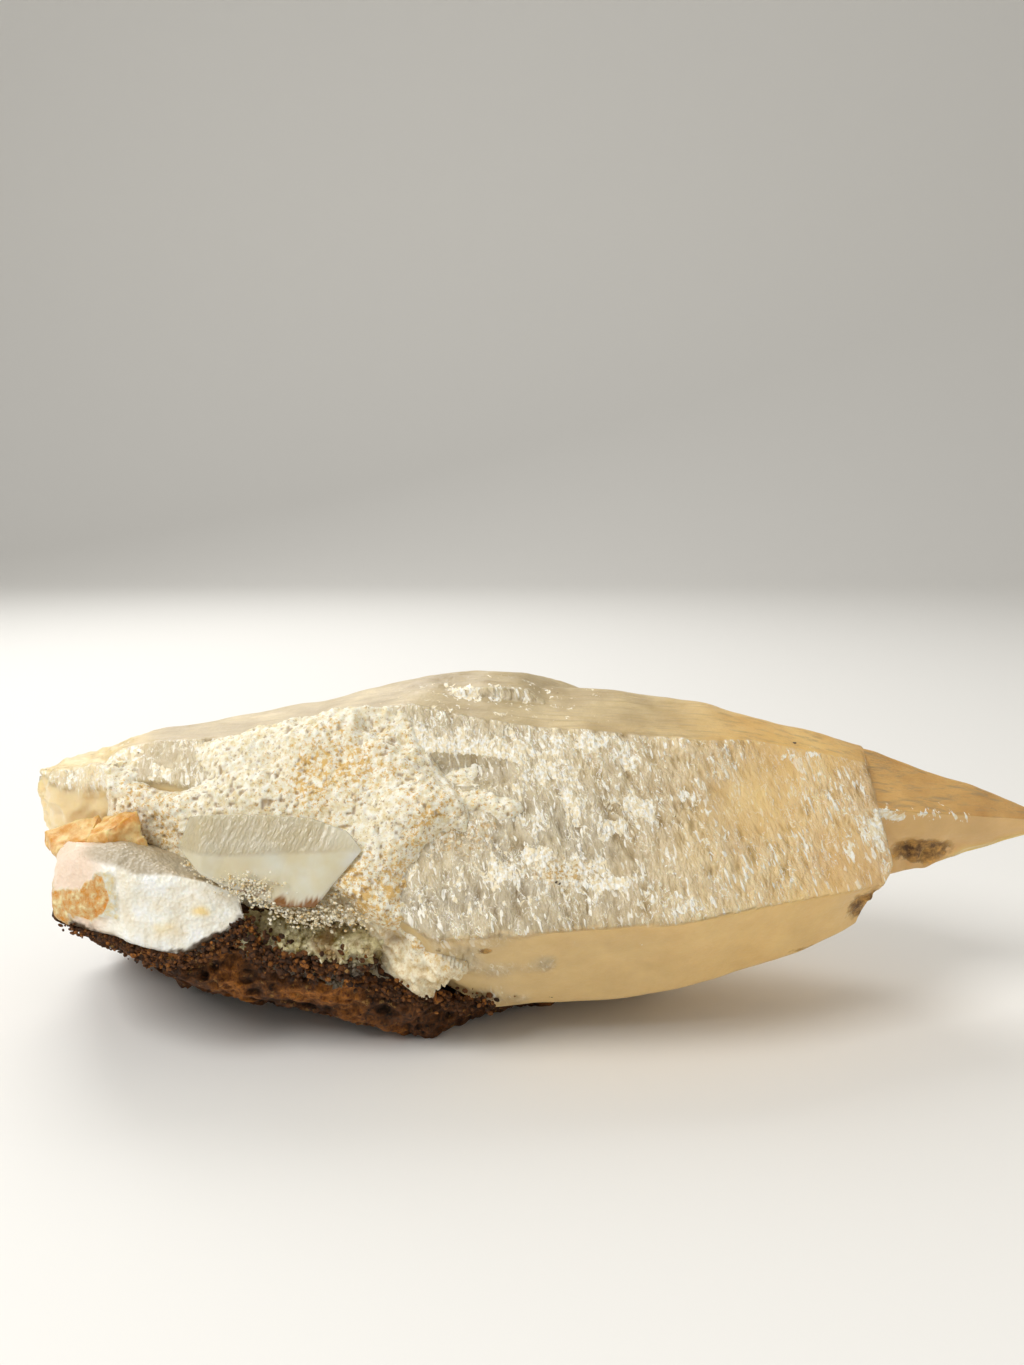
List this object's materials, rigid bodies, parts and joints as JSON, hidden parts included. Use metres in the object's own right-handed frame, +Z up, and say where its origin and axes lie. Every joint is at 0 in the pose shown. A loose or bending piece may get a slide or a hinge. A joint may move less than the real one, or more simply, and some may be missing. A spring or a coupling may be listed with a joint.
{
  "type": "calcite specimen",
  "caption": "Large dogtooth calcite crystal with a spear tip, sandy crust, white spar and iron-stained host rock.",
  "frame": {"origin": "under the middle of the specimen's bounding box, on the surface that it rests on", "axes": "+X along the big crystal to its spear tip, +Y away from the pictured side, +Z up"},
  "size_m": [0.2599, 0.094, 0.0821],
  "materials": {
    "calcite": "waxy translucent crystal faces, etched and frosted",
    "clear_calcite": "clear glassy crystal faces",
    "white_spar": "sugary white cleavage",
    "druse": "small glassy crystals",
    "cleaved_calcite": "amber cleavage faces",
    "sandy_crust": "dry, grainy, matt",
    "host_rock": "rough, earthy, rust-stained"
  },
  "bodies": {
    "root": {"main_crystal": "calcite", "side_crystal": "clear_calcite", "white_spar_block": "white_spar", "druse": "druse", "cleavage_shard_left": "cleaved_calcite", "cleavage_shard_upper": "cleaved_calcite", "sandy_crust": "sandy_crust", "host_rock": "host_rock"}
  },
  "joints": []
}
